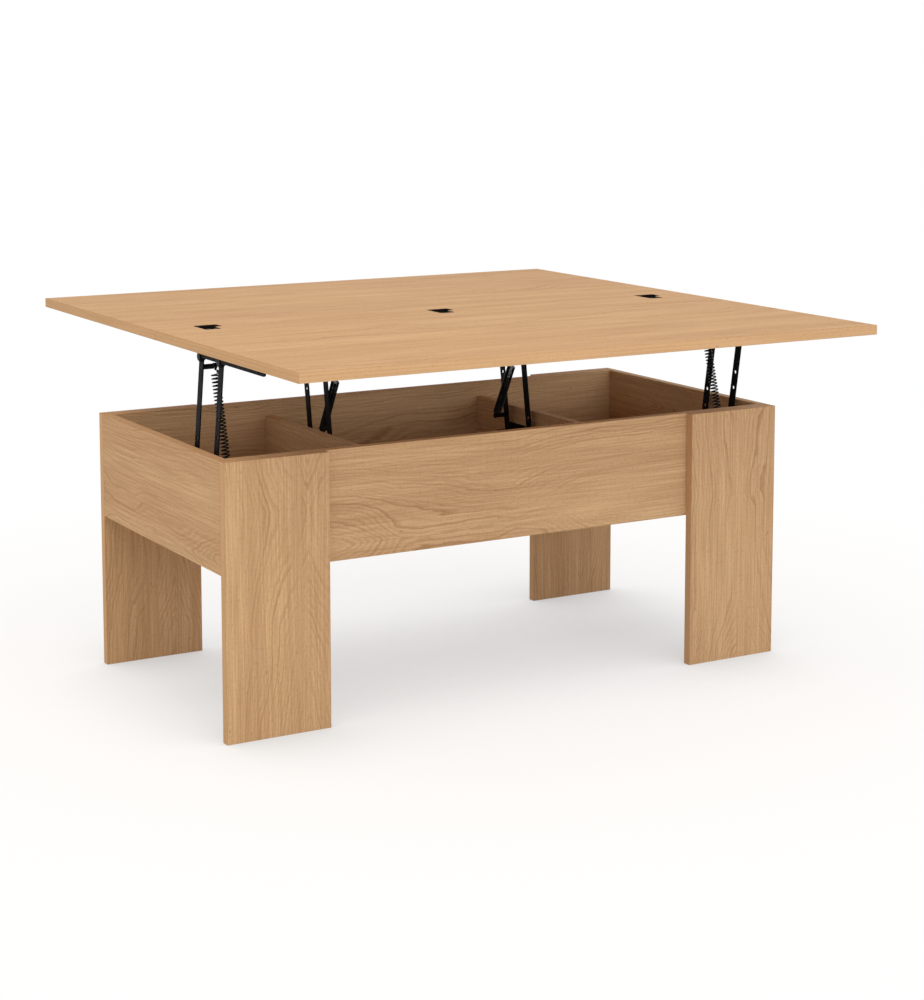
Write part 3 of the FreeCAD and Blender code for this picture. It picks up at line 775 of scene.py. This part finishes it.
# Music wire is drawn smooth, and its film of oil darkens it and makes it shine.
spring_wire = coated_steel(
    "oiled_music_wire", "#121213", "#1E1E20", 0.3, metallic=0.5, grain_mm=0.3, relief_mm=0.01,
)
spring_maker = spring_tree()
for unit in units:
    kind = unit.split("_")[0]
    swing, stretch = (
        next(joint for joint in frame["joints"] if joint["name"] == f"{unit}_spring_{motion}")
        for motion in ("swing", "stretch")
    )
    top = Vector(swing["pos_m"])
    line = Vector(stretch["axis"]).normalized()
    peg_low, peg_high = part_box(unit + "_lower_peg")
    length = (peg_low.yz + peg_high.yz - 2 * top.yz).length / 2
    coil_length = length - upper_hook - lower_hook[kind]
    wire = hooks(
        unit + "_hooks", length, upper_hook + coil_length, 2 * math.pi * turns[kind],
    )
    made = run_tree(wire, spring_maker, {
        "Wire radius": wire_radius, "Coil radius": coil_radius, "Coil start": upper_hook,
        "Coil length": coil_length, "Turns": turns[kind], "Finish": spring_wire,
    })
    made.transform(Matrix.Translation(top) @ line.to_track_quat("Z", "X").to_matrix().to_4x4())
    piece = bpy.data.objects.new(unit + "_spring_wire", made)
    bpy.context.scene.collection.objects.link(piece)
    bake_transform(piece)
    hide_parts(unit + "_spring", unit + "_spring_hook")


# Studio: a white paper floor that fades to the white round it, with painted shade dimming its
# glow under the table, an even white world, and soft lamps, one warm overhead, one cool in front
# and one weak at the left. The camera looks slightly down from the front left.
white = colour("#FFFFFF")
floor_reach = 15.0
fade_start, fade_end = 0.5, 1.6  # metres from the middle of the table
# Painted shade on the floor: its glow follows ambient occlusion within this reach.
painted_shade_reach = 0.34  # how near a thing darkens the floor
open_least, open_most = 0.25, 0.9  # how open the floor is under the table, and clear of it
# Strengths of the floor's glow, darkest where the most shade is painted and lightest where it is
# clear.
painted_shade_darkest, painted_shade_lightest = 0.47, 0.79
room_light = 0.8
lamps_aim = Vector((0.0, 0.0, 0.35))


def seen_directly(tree):
    """1 for what the camera sees, also in a mirror or through glass, and 0 for bounced light."""
    ray = add(tree, "ShaderNodeLightPath").outputs
    mirrored = add(
        tree, "ShaderNodeMath", {0: ray["Is Camera Ray"], 1: ray["Is Glossy Ray"]},
        operation="MAXIMUM",
    )
    return add(
        tree, "ShaderNodeMath", {0: mirrored, 1: ray["Is Transmission Ray"]}, operation="MAXIMUM",
    )


def floor_paper():
    """White paper: seen directly, it keeps part of the shade that falls on it.

    Its glow is also dimmed by ambient occlusion, which paints shade under and near the table.
    """
    material, tree = new_material("white_paper_floor")
    place = add(tree, "ShaderNodeTexCoord").outputs["Object"]
    far = add(tree, "ShaderNodeVectorMath", {0: place}, operation="LENGTH").outputs["Value"]
    fade = add(
        tree, "ShaderNodeMapRange",
        {"Value": far, "From Min": fade_start, "From Max": fade_end, "To Min": 0.0, "To Max": 1.0},
        interpolation_type="SMOOTHSTEP",
    )
    # Painted shade: ambient occlusion dims the floor's glow under and near the table.
    painted_shade_openness = add(tree, "ShaderNodeAmbientOcclusion", {"Distance": painted_shade_reach}, samples=16)
    painted_shade_strength = add(
        tree, "ShaderNodeMapRange",
        {"Value": painted_shade_openness.outputs["AO"], "From Min": open_least, "From Max": open_most,
         "To Min": painted_shade_darkest, "To Max": painted_shade_lightest},
    )
    shade = add(tree, "ShaderNodeBsdfDiffuse", {"Color": colour("#7C7A79")})
    painted_shade_emission = add(tree, "ShaderNodeEmission", {"Color": white, "Strength": painted_shade_strength})
    kept = add(tree, "ShaderNodeAddShader", {0: shade, 1: painted_shade_emission})
    clear = add(tree, "ShaderNodeEmission", {"Color": white, "Strength": 1.0})
    shown = add(tree, "ShaderNodeMixShader", {0: fade, 1: kept, 2: clear})
    bounced = add(tree, "ShaderNodeBsdfDiffuse", {"Color": colour("#E6E4E2")})
    surface = add(
        tree, "ShaderNodeMixShader", {0: seen_directly(tree), 1: bounced, 2: shown},
    )
    add(tree, "ShaderNodeOutputMaterial", {"Surface": surface})
    return material


floor_mesh = bpy.data.meshes.new("floor")
floor_corners = [(-1, -1), (1, -1), (1, 1), (-1, 1)]
floor_mesh.from_pydata(
    [(x * floor_reach, y * floor_reach, 0) for x, y in floor_corners], [], [(0, 1, 2, 3)],
)
floor_mesh.materials.append(floor_paper())
floor = bpy.data.objects.new("floor", floor_mesh)
bpy.context.scene.collection.objects.link(floor)

world = bpy.data.worlds.new("studio")
world.use_nodes = True
studio = world.node_tree
studio.nodes.clear()
room = add(studio, "ShaderNodeBackground", {"Color": colour("#FFFDFA"), "Strength": room_light})
backdrop = add(studio, "ShaderNodeBackground", {"Color": white, "Strength": 1.0})
sky = add(studio, "ShaderNodeMixShader", {0: seen_directly(studio), 1: room, 2: backdrop})
add(studio, "ShaderNodeOutputWorld", {"Surface": sky})
bpy.context.scene.world = world

for name, width, height, power, tint, place in (
    ("overhead_lamp", 3.0, 3.0, 35.0, "#FFE0A6", (-0.8, -0.8, 3.0)),
    ("front_lamp", 3.0, 0.9, 43.0, "#FAFFFF", (0.3, -4.4, 1.1)),
    ("left_lamp", 2.0, 0.8, 7.0, "#FFF6EC", (-4.2, -0.5, 1.1)),
):
    light = bpy.data.lights.new(name, "AREA")
    light.shape = "RECTANGLE"
    light.size = width
    light.size_y = height
    light.energy = power
    light.color = colour(tint)[:3]
    lamp = bpy.data.objects.new(name, light)
    lamp.location = place
    lamp.rotation_euler = (lamps_aim - Vector(place)).to_track_quat("-Z", "Y").to_euler()
    lamp.visible_camera = False
    lamp.visible_glossy = False
    bpy.context.scene.collection.objects.link(lamp)

camera_tilt = 0.1207  # below level, in radians
camera_turn = -0.5253  # from straight ahead
lens = bpy.data.cameras.new("camera")
lens.sensor_width = 36.0
lens.lens = 78.34
lens.shift_y = -0.19
camera = bpy.data.objects.new("camera", lens)
camera.location = (-1.7483, -3.0874, 1.0152)
camera.rotation_euler = (math.pi / 2 - camera_tilt, 0.0, camera_turn)
bpy.context.scene.collection.objects.link(camera)
bpy.context.scene.camera = camera
bpy.context.scene.view_settings.view_transform = "Standard"
